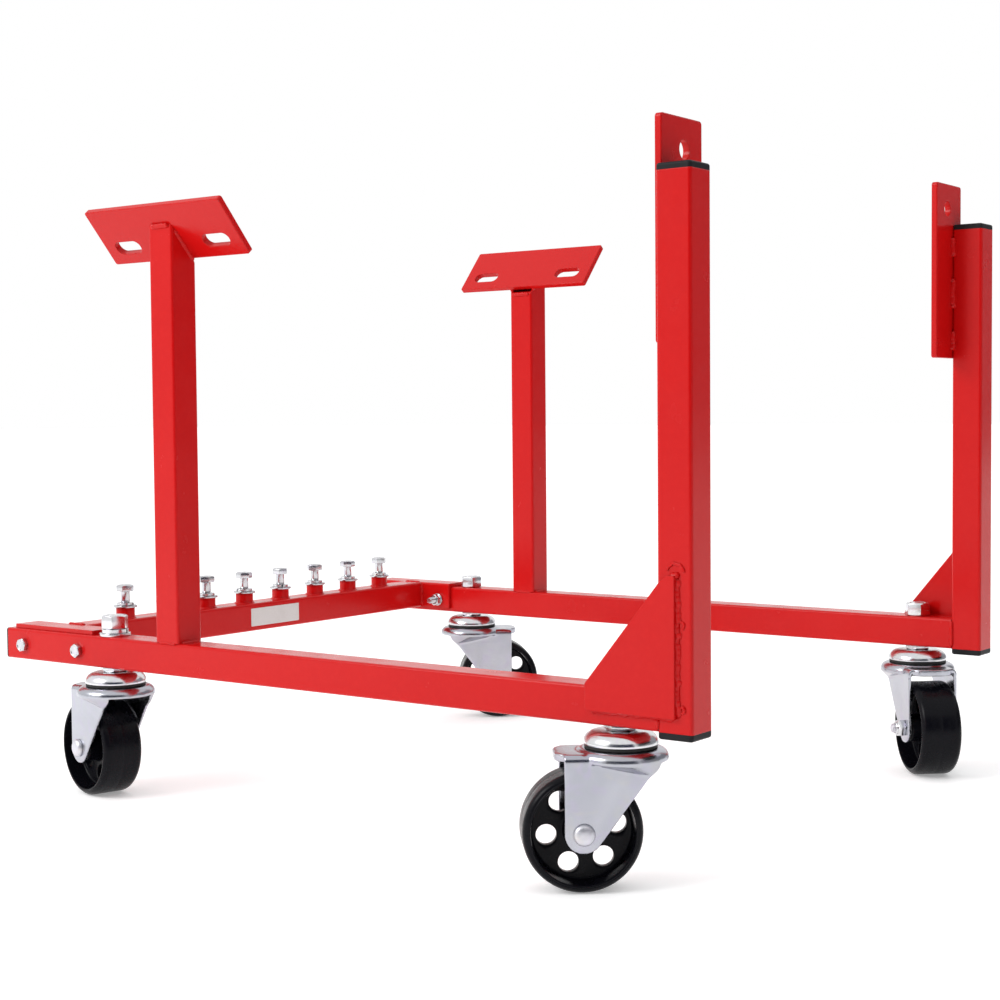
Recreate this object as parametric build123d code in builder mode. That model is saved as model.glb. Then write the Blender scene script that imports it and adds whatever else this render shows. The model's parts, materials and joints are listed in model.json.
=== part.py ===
from build123d import *
import math
import os

# Four-wheel engine stand: two square-tube side rails, a bolted cross member,
# two tall uprights with bell-housing plates, two shorter uprights with slotted
# engine-mount plates, eight stored bolts and four swivel casters.
# Row frame: X along the rails towards the tall uprights, Y across, +Z up,
# origin on the floor under the middle of the stand.

# ---------------------------------------------------------------- dimensions
TUBE = 25.4            # square tube, outside
WALL = 1.6
R_OUT = 2.2            # outside corner radius of the tube
RAIL_LEN = 640.0
WIDTH = 502.0          # outside to outside of the two rails
HC = 107.0             # floor to underside of the rails
X_MID = 331.7          # rail coordinates of the row origin
Y_MID = 251.665
BELL_H = 353.0         # tall upright, from rail underside to tube top
FRONT_X = 180.8        # short upright, face towards the free rail end
CROSS_X = 54.4         # centre line of the cross tube along the rails
ANG_T = 3.5            # angle thickness of the cross member ends
ANG_LEN = 96.0
BOLT_X = (20.5, 88.3)  # cross member bolts
BOLT_Z = 12.2
CB_R = 3.0             # M6 cross member bolts: shank radius, across flats, head, nut, washer
CB_AF = 10.0
CB_HEAD = 4.0
CB_NUT = 5.2
CB_WASHER = 1.6
CB_LEN = 44.0
COLLAR_PITCH = 48.3
PLATE_T = 5.0
MOTOR_LEN = 149.0
MOTOR_W = 50.8
MOTOR_TILT = 49.3      # degrees from horizontal, outer edge high
MOTOR_Y = 9.15         # centre of the plate's upper face, from the rail's outer face
MOTOR_Z = 347.3
SLOT_PITCH = 98.0
SLOT_LEN = 28.0
SLOT_W = 11.5
SLOT_DOWN = 10.2
BELL_W = 50.8
BELL_LEN = 144.5
BELL_Z = 245.6
BELL_HOLE_Y = 36.3
BELL_HOLE_Z = 369.6
BELL_HOLE_R = 6.5
GUSSET_T = 3.5
# caster
KING_X = (119.4, 604.5)
WHEEL_R = 39.4
WHEEL_W = 34.0
TRAIL = 26.5
AXLE_Z = WHEEL_R - HC  # axle height below the rail underside
LEG_IN = 18.3
LEG_OUT = 21.0
LEG_R = 12.6
PLATE_TOP = -16.2
PLATE_BOT = -19.0
BUMP_TOP = -14.7
RACE_BOT = -12.3
NECK = -3.6
CROWN_R = 31.4          # domed crown of the fork, around the lower race
CROWN_BOT = -22.6
CASTERS = {            # tag: (king pin x, side, swivel angle, wheel phase)
    "front_right": (KING_X[0], -1, 166.0, 20.0),
    "rear_right": (KING_X[1], -1, 220.0, 51.7),
    "rear_left": (KING_X[1], 1, 312.0, 10.0),
    "front_left": (KING_X[0], 1, 42.0, 36.4),
}

os.makedirs("parts", exist_ok=True)


def P(x, y, z):
    """rail coordinates (corner of the right-hand rail, underside) to the row frame"""
    return Vector(x - X_MID, y - Y_MID, z + HC)


def side_y(side, y):
    """distance y in from the outer face of the right (-1) or left (+1) rail"""
    return y if side < 0 else WIDTH - y


def save(part, name):
    part.label = name
    export_step(part, "parts/" + name + ".step")


# ---------------------------------------------------------------- side rails
for side, tag in ((-1, "right"), (1, "left")):
    yc = side_y(side, TUBE / 2)
    with BuildPart() as rail:
        with BuildSketch(Plane(P(0, yc, TUBE / 2), x_dir=(0, 1, 0), z_dir=(1, 0, 0))):
            RectangleRounded(TUBE, TUBE, R_OUT)
            RectangleRounded(TUBE - 2 * WALL, TUBE - 2 * WALL, R_OUT - WALL, mode=Mode.SUBTRACT)
        extrude(amount=RAIL_LEN)
        # stem holes, top to bottom
        with BuildSketch(Plane(P(0, yc, -1), x_dir=(1, 0, 0), z_dir=(0, 0, 1))):
            with Locations(*[(kx, 0) for kx in KING_X]):
                Circle(6.6)
        extrude(amount=TUBE + 2, mode=Mode.SUBTRACT)
        # cross member bolt holes, side to side
        with BuildSketch(Plane(P(0, side_y(side, 0) - 0, BOLT_Z), x_dir=(1, 0, 0), z_dir=(0, -1, 0))):
            with Locations(*[(bx, 0) for bx in BOLT_X]):
                Circle(CB_R + 0.3)
        extrude(amount=TUBE + 2, both=True, mode=Mode.SUBTRACT)
    save(rail.part, "rail_" + tag)

# ---------------------------------------------------------------- tall uprights
for side, tag in ((-1, "right"), (1, "left")):
    yc = side_y(side, TUBE / 2)
    with BuildPart() as bell_upright:
        with BuildSketch(Plane(P(RAIL_LEN + TUBE / 2, yc, 0), x_dir=(1, 0, 0), z_dir=(0, 0, 1))):
            RectangleRounded(TUBE, TUBE, R_OUT)
            RectangleRounded(TUBE - 2 * WALL, TUBE - 2 * WALL, R_OUT - WALL, mode=Mode.SUBTRACT)
        extrude(amount=BELL_H)
    save(bell_upright.part, "bell_upright_" + tag)

# ---------------------------------------------------------------- short uprights
slope = math.radians(MOTOR_TILT)
for side, tag in ((-1, "right"), (1, "left")):
    yc = side_y(side, TUBE / 2)
    inward = -side
    # the plate's upper face: centre point, downhill direction and normal
    top_c = P(FRONT_X + TUBE / 2, side_y(side, MOTOR_Y), MOTOR_Z)
    down = Vector(0, inward * math.cos(slope), -math.sin(slope))
    normal = Vector(0, inward * math.sin(slope), math.cos(slope))
    under = top_c - normal * PLATE_T
    with BuildPart() as front_upright:
        with BuildSketch(Plane(P(FRONT_X + TUBE / 2, yc, TUBE), x_dir=(1, 0, 0), z_dir=(0, 0, 1))):
            RectangleRounded(TUBE, TUBE, R_OUT)
            RectangleRounded(TUBE - 2 * WALL, TUBE - 2 * WALL, R_OUT - WALL, mode=Mode.SUBTRACT)
        extrude(amount=MOTOR_Z)
        # mitre the top to the underside of the plate
        with BuildSketch(Plane(under, x_dir=(1, 0, 0), z_dir=tuple(normal))):
            Rectangle(200, 200)
        extrude(amount=120, mode=Mode.SUBTRACT)
    save(front_upright.part, "front_upright_" + tag)

    with BuildPart() as motor_plate:
        plate_plane = Plane(under, x_dir=(1, 0, 0), z_dir=tuple(normal))
        # local y of this plane runs uphill for one side and downhill for the other
        down_sign = 1 if plate_plane.y_dir.dot(down) > 0 else -1
        with BuildSketch(plate_plane):
            RectangleRounded(MOTOR_LEN, MOTOR_W, 2.0)
            with Locations((-SLOT_PITCH / 2, down_sign * SLOT_DOWN), (SLOT_PITCH / 2, down_sign * SLOT_DOWN)):
                SlotOverall(SLOT_LEN, SLOT_W, mode=Mode.SUBTRACT)
        extrude(amount=PLATE_T)
        chamfer(motor_plate.edges().group_by(SortBy.LENGTH)[-1], 0.5)
    save(motor_plate.part, "motor_plate_" + tag)

# ---------------------------------------------------------------- bell-housing plates
for side, tag in ((-1, "right"), (1, "left")):
    y0 = side_y(side, 7.5)
    y1 = side_y(side, 7.5 + BELL_W)
    with BuildPart() as bell_plate:
        with BuildSketch(Plane(P(RAIL_LEN - PLATE_T, (y0 + y1) / 2, BELL_Z + BELL_LEN / 2), x_dir=(0, 1, 0), z_dir=(1, 0, 0))):
            RectangleRounded(BELL_W, BELL_LEN, 2.5)
            with Locations((side_y(side, BELL_HOLE_Y) - (y0 + y1) / 2, BELL_HOLE_Z - BELL_Z - BELL_LEN / 2)):
                Circle(BELL_HOLE_R, mode=Mode.SUBTRACT)
        extrude(amount=PLATE_T)
        chamfer(bell_plate.edges().group_by(SortBy.LENGTH)[-1], 0.5)
    save(bell_plate.part, "bell_plate_" + tag)

# ---------------------------------------------------------------- gussets
for side, tag in ((-1, "right"), (1, "left")):
    y_face = side_y(side, 0)
    with BuildPart() as gusset:
        with BuildSketch(Plane(P(0, y_face, 0), x_dir=(1, 0, 0), z_dir=(0, -1, 0))):
            with BuildLine():
                Polyline((587.0, 9.5), (587.0, 27.0), (643.5, 95.5), (649.0, 100.0), (654.5, 100.0), (654.5, 9.5), close=True)
            make_face()
            fillet(vertices().sort_by(Axis.X)[0:2], 2.0)
        extrude(amount=GUSSET_T if side < 0 else -GUSSET_T)
    save(gusset.part, "gusset_" + tag)

# ---------------------------------------------------------------- cross member
angle_top = TUBE + ANG_T
tube_len = WIDTH - 2 * (TUBE + ANG_T)
with BuildPart() as cross_tube:
    with BuildSketch(Plane(P(CROSS_X, TUBE + ANG_T, angle_top - TUBE / 2), x_dir=(1, 0, 0), z_dir=(0, 1, 0))):
        RectangleRounded(TUBE, TUBE, R_OUT)
        RectangleRounded(TUBE - 2 * WALL, TUBE - 2 * WALL, R_OUT - WALL, mode=Mode.SUBTRACT)
    extrude(amount=tube_len)
save(cross_tube.part, "cross_tube")

for side, tag in ((-1, "right"), (1, "left")):
    inward = -side
    y_in = side_y(side, TUBE)
    with BuildPart() as end_angle:
        # L profile: one leg over the rail, one leg down its inner face
        with BuildSketch(Plane(P(CROSS_X - ANG_LEN / 2, y_in, 0), x_dir=(0, 1, 0), z_dir=(1, 0, 0))):
            with BuildLine():
                Polyline(
                    (inward * ANG_T, angle_top),
                    (inward * ANG_T, angle_top - TUBE),
                    (0, angle_top - TUBE),
                    (0, TUBE),
                    (inward * (ANG_T - TUBE), TUBE),
                    (inward * (ANG_T - TUBE), angle_top),
                    close=True,
                )
            make_face()
            fillet(vertices().sort_by_distance((inward * ANG_T, angle_top))[0], 2.0)
        extrude(amount=ANG_LEN)
        with BuildSketch(Plane(P(0, y_in, BOLT_Z), x_dir=(1, 0, 0), z_dir=(0, -1, 0))):
            with Locations(*[(bx, 0) for bx in BOLT_X]):
                Circle(CB_R + 0.3)
        extrude(amount=ANG_T + 2, both=True, mode=Mode.SUBTRACT)
    save(end_angle.part, "end_angle_" + tag)

# collars for the stored bolts, on top of the cross tube
COLLAR_Y = [WIDTH / 2 + COLLAR_PITCH * (i - 3.5) for i in range(8)]
collar_pts = [P(CROSS_X, y, angle_top) for y in COLLAR_Y]


def at_collars(h):
    return [(p.X, p.Y) for p in collar_pts], HC + angle_top + h


pts, z0 = at_collars(0)
with BuildPart() as bolt_collars:
    with BuildSketch(Plane.XY.offset(z0)):
        with Locations(*pts):
            Circle(8.0)
            Circle(4.15, mode=Mode.SUBTRACT)
    extrude(amount=9.4)
save(bolt_collars.part, "bolt_collars")

with BuildPart() as storage_washers:
    with BuildSketch(Plane.XY.offset(z0 + 9.4)):
        with Locations(*pts):
            Circle(10.0)
            Circle(4.2, mode=Mode.SUBTRACT)
    extrude(amount=1.8)
save(storage_washers.part, "storage_washers")

with BuildPart() as storage_lock_washers:
    with BuildSketch(Plane.XY.offset(z0 + 11.2)):
        with Locations(*pts):
            Circle(7.3)
            Circle(4.2, mode=Mode.SUBTRACT)
            with Locations((5.7, 0)):
                Rectangle(4.0, 0.8, rotation=20, mode=Mode.SUBTRACT)
    extrude(amount=2.2)
save(storage_lock_washers.part, "storage_lock_washers")

with BuildPart() as storage_bolts:
    with BuildSketch(Plane.XY.offset(z0 + 1.0)):
        with Locations(*pts):
            Circle(4.0)
    extrude(amount=22.4)
    with BuildSketch(Plane.XY.offset(z0 + 23.4)):
        for i, pt in enumerate(pts):
            with Locations(pt):
                RegularPolygon(6.5, 6, major_radius=False, rotation=17 * i)
    extrude(amount=5.3)
save(storage_bolts.part, "storage_bolts")

# ---------------------------------------------------------------- cross member bolts
with BuildPart() as cross_bolts:
    for side in (-1, 1):
        out = Plane(P(0, side_y(side, 0), BOLT_Z), x_dir=(1, 0, 0), z_dir=(0, side, 0))
        with BuildSketch(out.offset(-CB_LEN)):
            with Locations(*[(bx, 0) for bx in BOLT_X]):
                Circle(CB_R)
        extrude(amount=CB_LEN)
        with BuildSketch(out):
            for i, bx in enumerate(BOLT_X):
                with Locations((bx, 0)):
                    RegularPolygon(CB_AF / 2, 6, major_radius=False, rotation=12 + 23 * i)
        extrude(amount=CB_HEAD)
save(cross_bolts.part, "cross_bolts")

with BuildPart() as cross_washers:
    for side in (-1, 1):
        out = Plane(P(0, side_y(side, 0), BOLT_Z), x_dir=(1, 0, 0), z_dir=(0, side, 0))
        with BuildSketch(out.offset(-(TUBE + ANG_T) - CB_WASHER)):
            with Locations(*[(bx, 0) for bx in BOLT_X]):
                Circle(6.2)
                Circle(CB_R + 0.2, mode=Mode.SUBTRACT)
        extrude(amount=CB_WASHER)
save(cross_washers.part, "cross_washers")

with BuildPart() as cross_nuts:
    for side in (-1, 1):
        out = Plane(P(0, side_y(side, 0), BOLT_Z), x_dir=(1, 0, 0), z_dir=(0, side, 0))
        with BuildSketch(out.offset(-(TUBE + ANG_T) - CB_WASHER - CB_NUT)):
            for i, bx in enumerate(BOLT_X):
                with Locations((bx, 0)):
                    RegularPolygon(CB_AF / 2, 6, major_radius=False, rotation=9 + 14 * i)
                    Circle(CB_R + 0.05, mode=Mode.SUBTRACT)
        extrude(amount=CB_NUT)
save(cross_nuts.part, "cross_nuts")

# ---------------------------------------------------------------- plastic end caps
PLUG = TUBE - 2 * WALL - 0.3
with BuildPart() as rail_end_caps:
    for side in (-1, 1):
        yc = side_y(side, TUBE / 2)
        end = Plane(P(0, yc, TUBE / 2), x_dir=(0, 1, 0), z_dir=(-1, 0, 0))
        with BuildSketch(end):
            RectangleRounded(TUBE, TUBE, R_OUT)
        extrude(amount=2.0)
        with BuildSketch(end):
            RectangleRounded(PLUG, PLUG, 1.6)
            RectangleRounded(PLUG - 4, PLUG - 4, 1.0, mode=Mode.SUBTRACT)
        extrude(amount=-11.0)
    fillet(rail_end_caps.edges().group_by(Axis.X)[0], 0.9)
save(rail_end_caps.part, "rail_end_caps")

with BuildPart() as upright_top_caps:
    for side in (-1, 1):
        yc = side_y(side, TUBE / 2)
        top = Plane(P(RAIL_LEN + TUBE / 2, yc, BELL_H), x_dir=(1, 0, 0), z_dir=(0, 0, 1))
        with BuildSketch(top):
            RectangleRounded(TUBE, TUBE, R_OUT)
        extrude(amount=4.4)
        with BuildSketch(top):
            RectangleRounded(PLUG, PLUG, 1.6)
            RectangleRounded(PLUG - 4, PLUG - 4, 1.0, mode=Mode.SUBTRACT)
        extrude(amount=-11.0)
    fillet(upright_top_caps.edges().group_by(Axis.Z)[-1], 1.8)
save(upright_top_caps.part, "upright_top_caps")

with BuildPart() as upright_bottom_caps:
    for side in (-1, 1):
        yc = side_y(side, TUBE / 2)
        bottom = Plane(P(RAIL_LEN + TUBE / 2, yc, 0), x_dir=(1, 0, 0), z_dir=(0, 0, -1))
        with BuildSketch(bottom):
            RectangleRounded(TUBE, TUBE, R_OUT)
        extrude(amount=4.6)
        with BuildSketch(bottom):
            RectangleRounded(PLUG, PLUG, 1.6)
            RectangleRounded(PLUG - 4, PLUG - 4, 1.0, mode=Mode.SUBTRACT)
        extrude(amount=-11.0)
    fillet(upright_bottom_caps.edges().group_by(Axis.Z)[0], 1.8)
save(upright_bottom_caps.part, "upright_bottom_caps")

# blank label on the cross tube
with BuildPart() as blank_label:
    with BuildSketch(Plane(P(CROSS_X + TUBE / 2, 254.5, angle_top - TUBE / 2), x_dir=(0, 1, 0), z_dir=(1, 0, 0))):
        RectangleRounded(64.0, 16.5, 0.8)
    extrude(amount=0.25)
save(blank_label.part, "blank_label")

# ---------------------------------------------------------------- caster mounting hardware
king_pts = {t: P(kx, side_y(sd, TUBE / 2), 0) for t, (kx, sd, a, w) in CASTERS.items()}
kings = [(p.X, p.Y) for p in king_pts.values()]
right = [(p.X, p.Y) for t, p in king_pts.items() if t.endswith("right")]
left = [(p.X, p.Y) for t, p in king_pts.items() if t.endswith("left")]

STACK = 2.4 + 3.2      # flat washer and lock washer, right-hand side only
with BuildPart() as stems:
    # threaded stem, hex shoulder, king pin and riveted head, one for each caster
    with BuildSketch(Plane.XY.offset(HC + NECK)):
        for i, pt in enumerate(kings):
            with Locations(pt):
                RegularPolygon(9.5, 6, major_radius=False, rotation=11 + 19 * i)
    extrude(amount=-NECK)
    with BuildSketch(Plane.XY.offset(HC + RACE_BOT)):
        with Locations(*kings):
            Circle(6.35)
    extrude(amount=-RACE_BOT + TUBE + 11.0)
    with BuildSketch(Plane.XY.offset(HC + TUBE + 11.0)):
        with Locations(*right):
            Circle(6.35)
    extrude(amount=STACK)
    with BuildSketch(Plane.XY.offset(HC + PLATE_BOT - 3.6)):
        with Locations(*kings):
            Circle(5.0)
    extrude(amount=RACE_BOT - PLATE_BOT + 3.6)
    with BuildSketch(Plane.XY.offset(HC + PLATE_BOT - 3.6)):
        with Locations(*kings):
            Circle(9.0)
    extrude(amount=3.0)
save(stems.part, "stems")

with BuildPart() as stem_nuts:
    for group, lift in ((right, STACK), (left, 0.0)):
        with BuildSketch(Plane.XY.offset(HC + TUBE + lift)):
            for i, pt in enumerate(group):
                with Locations(pt):
                    RegularPolygon(9.5, 6, major_radius=False, rotation=6 + 8 * i)
                    Circle(6.4, mode=Mode.SUBTRACT)
        extrude(amount=11.0)
save(stem_nuts.part, "stem_nuts")

with BuildPart() as stem_washers:
    with BuildSketch(Plane.XY.offset(HC + TUBE)):
        with Locations(*right):
            Circle(12.6)
            Circle(6.55, mode=Mode.SUBTRACT)
    extrude(amount=2.4)
save(stem_washers.part, "stem_washers")

with BuildPart() as stem_lock_washers:
    with BuildSketch(Plane.XY.offset(HC + TUBE + 2.4)):
        with Locations(*right):
            Circle(10.8)
            Circle(6.55, mode=Mode.SUBTRACT)
            with Locations((8.6, 0)):
                Rectangle(6.0, 1.0, rotation=20, mode=Mode.SUBTRACT)
    extrude(amount=3.2)
save(stem_lock_washers.part, "stem_lock_washers")

for i, (tag, kp) in enumerate(king_pts.items()):
    # dished upper race, fixed to the stem
    with BuildPart() as upper_race:
        with BuildSketch(Plane(kp, x_dir=(1, 0, 0), z_dir=(0, -1, 0))):
            with BuildLine():
                Polyline(
                    (6.35, NECK), (16.5, NECK), (21.5, NECK - 1.6), (24.0, NECK - 4.4),
                    (24.75, RACE_BOT + 1.0), (24.75, RACE_BOT), (22.6, RACE_BOT),
                    (21.9, NECK - 5.0), (20.0, NECK - 3.2), (16.0, NECK - 2.2), (6.35, NECK - 2.2), close=True,
                )
            make_face()
        revolve(axis=Axis((kp.X, kp.Y, 0), (0, 0, 1)))
    save(upper_race.part, "upper_race_" + tag)

    # black dust seal in the gap between the races
    with BuildPart() as swivel_seal:
        with BuildSketch(Plane.XY.offset(HC + RACE_BOT)):
            with Locations((kp.X, kp.Y)):
                Circle(23.9)
                Circle(20.5, mode=Mode.SUBTRACT)
        extrude(amount=-2.0)
    save(swivel_seal.part, "swivel_seal_" + tag)

# ---------------------------------------------------------------- forks, axles and wheels
lead = math.radians(126.5)   # direction of the leg's leading edge
tx = TRAIL - LEG_R * math.sin(lead)
tz = AXLE_Z + LEG_R * math.cos(lead)
knee = -33.0            # the leading edge flares out above this height
up_x = tx + (knee - tz) / math.tan(lead)
for tag, (kx, sd, ang, phase) in CASTERS.items():
    kp = king_pts[tag]
    c, s = math.cos(math.radians(ang)), math.sin(math.radians(ang))
    u = Vector(c, s, 0)
    lat = Vector(-s, c, 0)
    flat = Plane(kp, x_dir=tuple(u), z_dir=(0, 0, 1))
    view = Plane(kp, x_dir=tuple(u), z_dir=tuple(lat * -1))   # x along the trail, y up

    with BuildPart() as fork:
        # channel-shaped bracket: two tapered legs under one plate
        with BuildSketch(view):
            with BuildLine():
                Line((TRAIL + LEG_R, PLATE_TOP), (TRAIL + LEG_R, AXLE_Z))
                ThreePointArc((TRAIL + LEG_R, AXLE_Z), (TRAIL, AXLE_Z - LEG_R), (tx, tz))
                Line((tx, tz), (up_x, knee))
                Polyline((up_x, knee), (-19.3, -29.0), (-22.5, -25.5), (-23.4, -22.6), (-23.4, PLATE_TOP))
                Line((-23.4, PLATE_TOP), (TRAIL + LEG_R, PLATE_TOP))
            make_face()
        extrude(amount=LEG_OUT, both=True)
        fillet(fork.edges().group_by(Axis.Z)[-1].sort_by(SortBy.LENGTH)[-2:], 3.2)
        with BuildSketch(view):
            with Locations((0, PLATE_BOT - 50)):
                Rectangle(160, 100)
        extrude(amount=LEG_IN, both=True, mode=Mode.SUBTRACT)
        # round plate with the pressed raceway and a turned-down edge
        with BuildSketch(view):
            with BuildLine():
                Polyline(
                    (0, BUMP_TOP), (25.0, BUMP_TOP), (28.6, BUMP_TOP - 1.2), (30.7, BUMP_TOP - 3.1), (CROWN_R, BUMP_TOP - 5.3),
                    (CROWN_R, CROWN_BOT), (CROWN_R - 2.6, CROWN_BOT), (CROWN_R - 2.6, -20.4), (CROWN_R - 3.8, PLATE_BOT), (0, PLATE_BOT), close=True,
                )
            make_face()
        revolve(axis=Axis((kp.X, kp.Y, 0), (0, 0, 1)))
        # trailing lip: the plate runs past the legs and turns down at its end
        with BuildSketch(flat.offset(PLATE_BOT)):
            with Locations((30.5, 0)):
                RectangleRounded(28.0, 38.0, 13.5)
        extrude(amount=PLATE_TOP - PLATE_BOT)
        with BuildSketch(flat.offset(PLATE_BOT - 3.0)):
            with Locations((30.5, 0)):
                RectangleRounded(28.0, 38.0, 13.5)
                RectangleRounded(23.6, 33.6, 11.3, mode=Mode.SUBTRACT)
            with Locations((25.0, 0)):
                Rectangle(28.0, 60.0, mode=Mode.SUBTRACT)
        extrude(amount=3.0)
        # king pin hole and axle holes
        with BuildSketch(flat):
            Circle(5.05)
        extrude(amount=-60, mode=Mode.SUBTRACT)
        with BuildSketch(view):
            with Locations((TRAIL, AXLE_Z)):
                Circle(4.05)
        extrude(amount=LEG_OUT + 5, both=True, mode=Mode.SUBTRACT)
    save(fork.part, "fork_" + tag)

    with BuildPart() as axle_bolt:
        with BuildSketch(view.offset(-LEG_OUT - 0.0)):
            with Locations((TRAIL, AXLE_Z)):
                Circle(7.2)
        extrude(amount=-4.2)
        fillet(axle_bolt.faces().sort_by(Axis(tuple(kp), tuple(lat)))[-1].edges(), 2.4)
        with BuildSketch(view.offset(-LEG_OUT)):
            with Locations((TRAIL, AXLE_Z)):
                Circle(4.0)
        extrude(amount=2 * LEG_OUT + 10.5)
    save(axle_bolt.part, "axle_bolt_" + tag)

    with BuildPart() as axle_nut:
        with BuildSketch(view.offset(LEG_OUT)):
            with Locations((TRAIL, AXLE_Z)):
                RegularPolygon(6.5, 6, major_radius=False, rotation=10)
                Circle(4.05, mode=Mode.SUBTRACT)
        extrude(amount=6.2)
        with BuildSketch(view.offset(LEG_OUT + 6.2)):
            with Locations((TRAIL, AXLE_Z)):
                Circle(5.8)
                Circle(4.05, mode=Mode.SUBTRACT)
        extrude(amount=1.8)
    save(axle_nut.part, "axle_nut_" + tag)

    with BuildPart() as axle_sleeve:
        with BuildSketch(view):
            with Locations((TRAIL, AXLE_Z)):
                Circle(6.0)
                Circle(4.05, mode=Mode.SUBTRACT)
        extrude(amount=LEG_IN, both=True)
    save(axle_sleeve.part, "axle_sleeve_" + tag)

    with BuildPart() as wheel:
        with BuildSketch(view):
            with Locations((TRAIL, AXLE_Z)):
                Circle(WHEEL_R)
        extrude(amount=WHEEL_W / 2, both=True)
        fillet(wheel.edges().filter_by(GeomType.CIRCLE), 5.0)
        # dished faces, thin web, hub boss
        for sgn in (-1, 1):
            with BuildSketch(view.offset(sgn * 3.2)):
                with Locations((TRAIL, AXLE_Z)):
                    Circle(33.2)
                    Circle(12.0, mode=Mode.SUBTRACT)
            extrude(amount=sgn * 20.0, taper=-4 if sgn > 0 else -4, mode=Mode.SUBTRACT)
        with BuildSketch(view.offset(-WHEEL_W / 2)):
            with Locations((TRAIL, AXLE_Z)):
                with PolarLocations(23.2, 6, start_angle=phase):
                    Circle(6.85)
        extrude(amount=WHEEL_W, mode=Mode.SUBTRACT)
        with BuildSketch(view.offset(-WHEEL_W / 2)):
            with Locations((TRAIL, AXLE_Z)):
                Circle(6.05)
        extrude(amount=WHEEL_W, mode=Mode.SUBTRACT)
    save(wheel.part, "wheel_" + tag)
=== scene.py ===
import json
import math
import random

import bmesh
import bpy
from mathutils import Matrix, Vector


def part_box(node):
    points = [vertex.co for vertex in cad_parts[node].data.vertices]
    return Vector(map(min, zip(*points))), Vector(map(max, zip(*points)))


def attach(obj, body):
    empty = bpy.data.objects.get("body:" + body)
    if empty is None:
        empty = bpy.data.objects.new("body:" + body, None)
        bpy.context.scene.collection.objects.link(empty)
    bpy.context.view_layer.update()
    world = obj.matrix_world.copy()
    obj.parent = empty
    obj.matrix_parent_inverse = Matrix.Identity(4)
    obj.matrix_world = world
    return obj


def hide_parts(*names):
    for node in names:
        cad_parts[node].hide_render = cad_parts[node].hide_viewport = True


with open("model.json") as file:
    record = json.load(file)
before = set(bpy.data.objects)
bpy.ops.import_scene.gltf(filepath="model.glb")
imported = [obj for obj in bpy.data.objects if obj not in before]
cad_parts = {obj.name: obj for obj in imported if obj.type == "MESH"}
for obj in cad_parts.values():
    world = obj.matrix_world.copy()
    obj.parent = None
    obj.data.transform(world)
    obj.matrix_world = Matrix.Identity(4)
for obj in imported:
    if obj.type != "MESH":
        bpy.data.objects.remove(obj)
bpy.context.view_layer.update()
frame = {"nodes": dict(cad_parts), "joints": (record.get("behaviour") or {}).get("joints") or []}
NODES = frame["nodes"]
scene = bpy.context.scene

# ------------------------------------------------------------------ the CAD's own numbers, in millimetres
TUBE, WIDTH, HC, RAIL_LEN = 25.4, 502.0, 107.0, 640.0
X_MID = 331.7
Y_MID = -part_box("rail_right")[0].y * 1000      # the right rail's outer face is y = 0
KING_X = (119.4, 604.5)
WHEEL_R, TRAIL = 39.4, 26.5
AXLE_Z = WHEEL_R - HC
ANGLE_TOP = 28.9
CROSS_X = 54.4
COLLAR_Y = [WIDTH / 2 + 48.3 * (i - 3.5) for i in range(8)]
BOLT_X, BOLT_Z = (20.5, 88.3), 12.2
FRONT_X, MOTOR_Y, MOTOR_Z = 180.8, 9.15, 347.3
SLOPE = math.radians(49.3)
JOINT_AT = {j["name"]: Vector(j["pos_m"]) for j in frame["joints"]}


def swivel_angle(tag):
    """the way a caster trails at rest: from its swivel axis to its axle, in degrees"""
    d = JOINT_AT["spin_" + tag] - JOINT_AT["swivel_" + tag]
    return math.degrees(math.atan2(d.y, d.x))


CASTERS = {tag: (kx, side, swivel_angle(tag), phase) for tag, kx, side, phase in (
    ("front_right", KING_X[0], -1, 20.0),
    ("rear_right", KING_X[1], -1, 51.7),
    ("rear_left", KING_X[1], 1, 10.0),
    ("front_left", KING_X[0], 1, 36.4),
)}


def P(x, y, z):
    """rail coordinates in millimetres to the row frame in metres"""
    return Vector(((x - X_MID) / 1000, (y - Y_MID) / 1000, (z + HC) / 1000))


def side_y(side, y):
    return y if side < 0 else WIDTH - y


# ------------------------------------------------------------------ materials
def material(name):
    m = bpy.data.materials.new(name)
    m.use_nodes = True
    nt = m.node_tree
    nt.nodes.clear()
    out = nt.nodes.new("ShaderNodeOutputMaterial")
    bsdf = nt.nodes.new("ShaderNodeBsdfPrincipled")
    nt.links.new(bsdf.outputs[0], out.inputs["Surface"])
    tc = nt.nodes.new("ShaderNodeTexCoord")
    return m, nt, bsdf, tc.outputs["Object"]


def noise(nt, vec, scale, detail=2.0, rough=0.5, dist=0.0, stretch=None):
    n = nt.nodes.new("ShaderNodeTexNoise")
    n.inputs["Scale"].default_value = scale
    n.inputs["Detail"].default_value = detail
    n.inputs["Roughness"].default_value = rough
    n.inputs["Distortion"].default_value = dist
    if stretch:
        mp = nt.nodes.new("ShaderNodeMapping")
        mp.inputs["Scale"].default_value = stretch
        nt.links.new(vec, mp.inputs["Vector"])
        vec = mp.outputs[0]
    nt.links.new(vec, n.inputs["Vector"])
    return n.outputs["Fac"]


def remap(nt, fac, a, b, lo=0.3, hi=0.7):
    r = nt.nodes.new("ShaderNodeMapRange")
    r.inputs["From Min"].default_value = lo
    r.inputs["From Max"].default_value = hi
    r.inputs["To Min"].default_value = a
    r.inputs["To Max"].default_value = b
    nt.links.new(fac, r.inputs["Value"])
    return r.outputs[0]


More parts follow.
